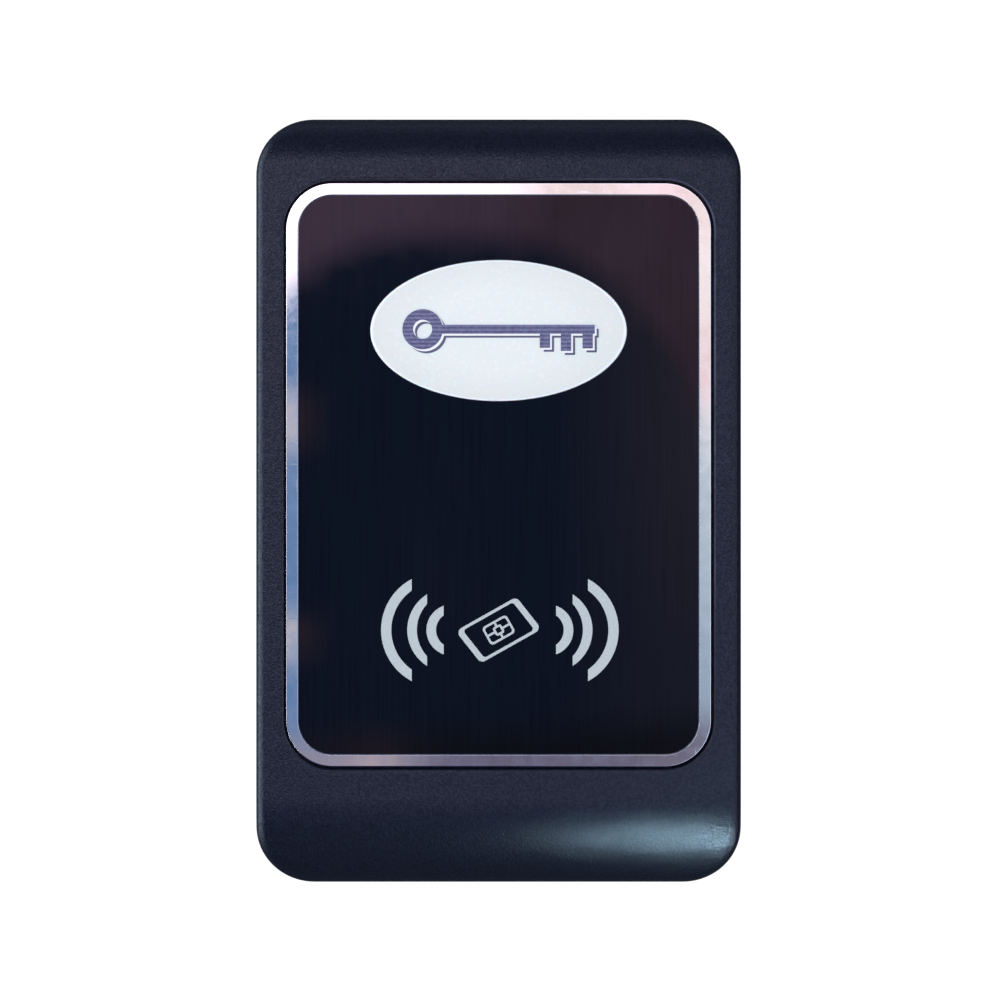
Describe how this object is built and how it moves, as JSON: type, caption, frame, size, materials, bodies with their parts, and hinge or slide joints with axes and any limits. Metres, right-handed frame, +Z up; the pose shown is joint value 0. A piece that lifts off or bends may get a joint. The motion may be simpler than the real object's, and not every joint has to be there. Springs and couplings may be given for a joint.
{
  "type": "rfid card reader",
  "caption": "Wall-mounted card reader: a die-cast front with rolled ends, mirror-framed glossy panel and oval lens, hooked over a steel plate and locked from below.",
  "frame": {"origin": "centre of the four wall holes, on the wall plane behind the wall plate", "axes": "+X across to the right seen from the front, +Y into the wall, +Z up; the front faces -Y"},
  "size_m": [0.076, 0.022, 0.12],
  "materials": {
    "painted_zinc": "satin blue-black paint with fine flake",
    "mirror_trim": "mirror plated",
    "steel": "zinc plated",
    "stainless": "brushed",
    "black_oxide_steel": "black oxide",
    "glossy_panel": "polished, printed on the back",
    "opal_lens": "opal, polished",
    "blue_grey_ink": "printed",
    "white_ink": "printed",
    "adhesive_foam": "foam tape",
    "white_plastic": "moulded",
    "black_plastic": "fine texture",
    "led_body": "moulded",
    "grey_plastic": "moulded",
    "copper_winding": "enamelled copper wire",
    "circuit_board": "solder mask",
    "chip_package": "moulded epoxy",
    "metal_can": "drawn can",
    "ferrite": "sintered",
    "chip_ceramic": "sintered",
    "green_plastic": "moulded",
    "plated_pins": "gold flash",
    "white_acetal": "moulded",
    "spring_steel": "drawn wire",
    "black_rubber": "moulded"
  },
  "bodies": {
    "wall_bracket": {"wall_plate": "stainless", "lock_bracket": "stainless"},
    "reader": {"front_housing": "painted_zinc", "trim_ring": "mirror_trim", "ring_clips": "steel", "front_panel": "glossy_panel", "oval_lens": "opal_lens", "key_symbol": "blue_grey_ink", "wave_symbols": "white_ink", "card_symbol": "white_ink", "panel_adhesive": "adhesive_foam", "light_box": "white_plastic", "backlight_leds": "led_body", "antenna_former": "grey_plastic", "antenna_coil": "copper_winding", "main_board": "circuit_board", "board_screws": "steel", "microcontroller": "chip_package", "reader_chip": "chip_package", "crystal": "metal_can", "electrolytic_capacitors": "metal_can", "power_inductor": "ferrite", "voltage_regulator": "chip_package", "chip_passives": "chip_ceramic", "buzzer": "black_plastic", "surge_diodes": "chip_package", "terminal_header": "green_plastic", "header_pins": "plated_pins", "tamper_switch": "grey_plastic", "tamper_spring": "spring_steel", "rear_cover": "black_plastic", "rear_seal": "black_rubber", "rear_cover_screws": "steel", "cable_grommet": "black_rubber"},
    "lock": {"lock_screw": "black_oxide_steel"},
    "tamper": {"tamper_plunger": "white_acetal"}
  },
  "joints": [
    {"name": "reader_swing", "type": "hinge", "parent": "wall_bracket", "child": "reader", "pos_m": [0, -0.0019, 0.0555], "axis": [-1, 0, 0], "range_deg": [0, 12]},
    {"name": "lock_screw_travel", "type": "slide", "parent": "reader", "child": "lock", "axis": [0, 0, 1], "range_m": [0, 0.0026]},
    {"name": "tamper_extend", "type": "slide", "parent": "reader", "child": "tamper", "axis": [0, 1, 0], "range_m": [0, 0.0012], "deforming": ["tamper_spring"]}
  ],
  "couplings": [
    {"joint": "tamper_extend", "follows": "reader_swing", "m_per_rad": 0.00572}
  ]
}
